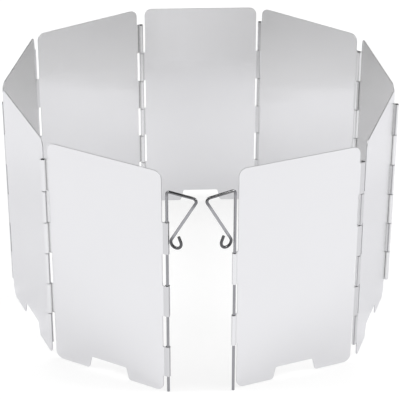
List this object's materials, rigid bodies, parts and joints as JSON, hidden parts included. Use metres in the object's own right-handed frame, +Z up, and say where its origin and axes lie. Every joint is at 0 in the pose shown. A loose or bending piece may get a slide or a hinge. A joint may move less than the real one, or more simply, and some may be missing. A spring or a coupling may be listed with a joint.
{
  "type": "folding stove windscreen",
  "caption": "Folding aluminium stove windscreen: hinged plates with air notches stand in an open ring, a bent-wire rod with a clip loop in each free edge.",
  "frame": {"origin": "floor level, at the middle of the plan", "axes": "+Z up; the opening between the two rods faces -Y and the plate opposite it, plate_5, lies along X"},
  "size_m": [0.2532, 0.2592, 0.153],
  "materials": {
    "sheet": "satin",
    "pin": "drawn wire",
    "rod": "drawn wire"
  },
  "bodies": {
    "back": {"plate_5": "sheet", "pin_4": "pin", "pin_5": "pin"},
    "left_1": {"plate_4": "sheet", "pin_3": "pin"},
    "left_2": {"plate_3": "sheet", "pin_2": "pin"},
    "left_3": {"plate_2": "sheet", "pin_1": "pin"},
    "left_4": {"plate_1": "sheet"},
    "right_1": {"plate_6": "sheet", "pin_6": "pin"},
    "right_2": {"plate_7": "sheet", "pin_7": "pin"},
    "right_3": {"plate_8": "sheet", "pin_8": "pin"},
    "right_4": {"plate_9": "sheet"},
    "clip_left": {"rod_left": "rod"},
    "clip_right": {"rod_right": "rod"}
  },
  "joints": [
    {"name": "fold_4", "type": "hinge", "parent": "back", "child": "left_1", "pos_m": [-0.03677, 0.12567, 0.0765], "axis": [0, 0, 1], "range_deg": [0, 149]},
    {"name": "fold_3", "type": "hinge", "parent": "left_1", "child": "left_2", "pos_m": [-0.11003, 0.08452, 0.0765], "axis": [0, 0, -1], "range_deg": [0, 227]},
    {"name": "fold_2", "type": "hinge", "parent": "left_2", "child": "left_3", "pos_m": [-0.12509, 0.00184, 0.0765], "axis": [0, 0, 1], "range_deg": [0, 147]},
    {"name": "fold_1", "type": "hinge", "parent": "left_3", "child": "left_4", "pos_m": [-0.09729, -0.07746, 0.0765], "axis": [0, 0, -1], "range_deg": [0, 218]},
    {"name": "fold_5", "type": "hinge", "parent": "back", "child": "right_1", "pos_m": [0.04723, 0.12813, 0.0765], "axis": [0, 0, 1], "range_deg": [0, 219]},
    {"name": "fold_6", "type": "hinge", "parent": "right_1", "child": "right_2", "pos_m": [0.11097, 0.07336, 0.0765], "axis": [0, 0, -1], "range_deg": [0, 137]},
    {"name": "fold_7", "type": "hinge", "parent": "right_2", "child": "right_3", "pos_m": [0.12509, -0.00948, 0.0765], "axis": [0, 0, 1], "range_deg": [0, 208]},
    {"name": "fold_8", "type": "hinge", "parent": "right_3", "child": "right_4", "pos_m": [0.09405, -0.08758, 0.0765], "axis": [0, 0, -1], "range_deg": [0, 130]},
    {"name": "clip_left_swing", "type": "hinge", "parent": "left_4", "child": "clip_left", "pos_m": [-0.02402, -0.11862, 0.0765], "axis": [0, 0, 1], "range_deg": [-50, 170]},
    {"name": "clip_right_swing", "type": "hinge", "parent": "right_4", "child": "clip_right", "pos_m": [0.01596, -0.11862, 0.0765], "axis": [0, 0, 1], "range_deg": [-50, 170]}
  ],
  "couplings": [
    {"joint": "fold_3", "follows": "fold_4", "ratio": 1.5235},
    {"joint": "fold_2", "follows": "fold_4", "ratio": 0.98658},
    {"joint": "fold_1", "follows": "fold_4", "ratio": 1.4631},
    {"joint": "fold_5", "follows": "fold_4", "ratio": 1.4698},
    {"joint": "fold_6", "follows": "fold_4", "ratio": 0.91946},
    {"joint": "fold_7", "follows": "fold_4", "ratio": 1.396},
    {"joint": "fold_8", "follows": "fold_4", "ratio": 0.87248}
  ]
}
